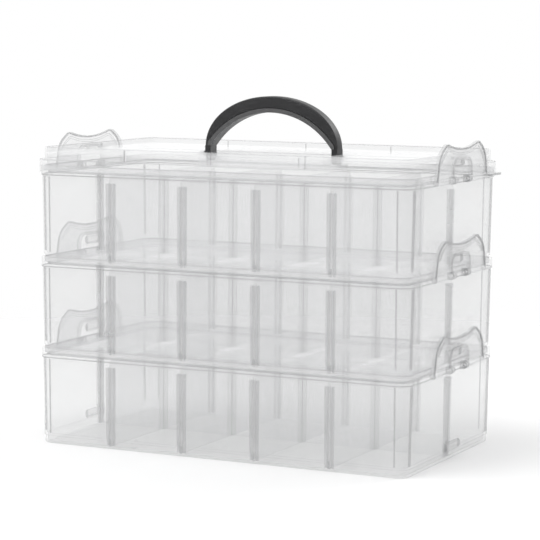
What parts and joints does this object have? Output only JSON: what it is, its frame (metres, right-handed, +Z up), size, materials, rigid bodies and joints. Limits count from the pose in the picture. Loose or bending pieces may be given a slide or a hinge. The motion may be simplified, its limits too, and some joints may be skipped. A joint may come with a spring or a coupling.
{
  "type": "three-tier stackable storage box",
  "caption": "Clear stackable storage box of three latched trays with removable dividers, a clear lid and a folding dark handle.",
  "frame": {"origin": "centre of the base, on the plane that the box stands on", "axes": "+X to the right along the length, +Y to the back, +Z up; the box stands upright"},
  "size_m": [0.3376, 0.1898, 0.2804],
  "materials": {
    "clear_plastic": "translucent moulded polypropylene, semi-gloss",
    "handle_plastic": "dark grey moulded plastic, satin"
  },
  "bodies": {
    "bottom": {"bottom_tray": "clear_plastic", "bottom_long_divider": "clear_plastic", "bottom_front_divider_1": "clear_plastic", "bottom_front_divider_2": "clear_plastic", "bottom_front_divider_3": "clear_plastic", "bottom_front_divider_4": "clear_plastic", "bottom_back_divider_1": "clear_plastic", "bottom_back_divider_2": "clear_plastic", "bottom_back_divider_3": "clear_plastic", "bottom_back_divider_4": "clear_plastic"},
    "middle": {"middle_tray": "clear_plastic", "middle_long_divider": "clear_plastic", "middle_front_divider_1": "clear_plastic", "middle_front_divider_2": "clear_plastic", "middle_front_divider_3": "clear_plastic", "middle_front_divider_4": "clear_plastic", "middle_back_divider_1": "clear_plastic", "middle_back_divider_2": "clear_plastic", "middle_back_divider_3": "clear_plastic", "middle_back_divider_4": "clear_plastic"},
    "top": {"top_tray": "clear_plastic", "top_long_divider": "clear_plastic", "top_front_divider_1": "clear_plastic", "top_front_divider_2": "clear_plastic", "top_front_divider_3": "clear_plastic", "top_front_divider_4": "clear_plastic", "top_back_divider_1": "clear_plastic", "top_back_divider_2": "clear_plastic", "top_back_divider_3": "clear_plastic", "top_back_divider_4": "clear_plastic"},
    "bottom_left_latch": {"bottom_left_latch": "clear_plastic"},
    "bottom_right_latch": {"bottom_right_latch": "clear_plastic"},
    "middle_left_latch": {"middle_left_latch": "clear_plastic"},
    "middle_right_latch": {"middle_right_latch": "clear_plastic"},
    "top_left_latch": {"top_left_latch": "clear_plastic"},
    "top_right_latch": {"top_right_latch": "clear_plastic"},
    "lid": {"lid": "clear_plastic"},
    "handle": {"handle": "handle_plastic"}
  },
  "joints": [
    {"name": "middle_tray_lift", "type": "slide", "parent": "bottom", "child": "middle", "axis": [0, 0, 1], "range_m": [0, 0.03]},
    {"name": "top_tray_lift", "type": "slide", "parent": "middle", "child": "top", "axis": [0, 0, 1], "range_m": [0, 0.03]},
    {"name": "lid_lift", "type": "slide", "parent": "top", "child": "lid", "axis": [0, 0, 1], "range_m": [0, 0.03]},
    {"name": "bottom_left_latch_swing", "type": "hinge", "parent": "bottom", "child": "bottom_left_latch", "pos_m": [-0.1652, 0, 0.073], "axis": [0, -1, 0], "range_deg": [0, 105]},
    {"name": "bottom_right_latch_swing", "type": "hinge", "parent": "bottom", "child": "bottom_right_latch", "pos_m": [0.1652, 0, 0.073], "axis": [0, 1, 0], "range_deg": [0, 105]},
    {"name": "middle_left_latch_swing", "type": "hinge", "parent": "middle", "child": "middle_left_latch", "pos_m": [-0.1652, 0, 0.1465], "axis": [0, -1, 0], "range_deg": [0, 105]},
    {"name": "middle_right_latch_swing", "type": "hinge", "parent": "middle", "child": "middle_right_latch", "pos_m": [0.1652, 0, 0.1465], "axis": [0, 1, 0], "range_deg": [0, 105]},
    {"name": "top_left_latch_swing", "type": "hinge", "parent": "top", "child": "top_left_latch", "pos_m": [-0.1652, 0, 0.22], "axis": [0, -1, 0], "range_deg": [0, 105]},
    {"name": "top_right_latch_swing", "type": "hinge", "parent": "top", "child": "top_right_latch", "pos_m": [0.1652, 0, 0.22], "axis": [0, 1, 0], "range_deg": [0, 105]},
    {"name": "handle_fold", "type": "hinge", "parent": "lid", "child": "handle", "pos_m": [0, 0.008, 0.2325], "axis": [1, 0, 0], "range_deg": [0, 90]}
  ],
  "couplings": [
    {"joint": "bottom_left_latch_swing", "follows": "middle_tray_lift", "rad_per_m": 61},
    {"joint": "bottom_right_latch_swing", "follows": "middle_tray_lift", "rad_per_m": 61},
    {"joint": "middle_left_latch_swing", "follows": "top_tray_lift", "rad_per_m": 61},
    {"joint": "middle_right_latch_swing", "follows": "top_tray_lift", "rad_per_m": 61},
    {"joint": "top_left_latch_swing", "follows": "lid_lift", "rad_per_m": 61},
    {"joint": "top_right_latch_swing", "follows": "lid_lift", "rad_per_m": 61}
  ]
}
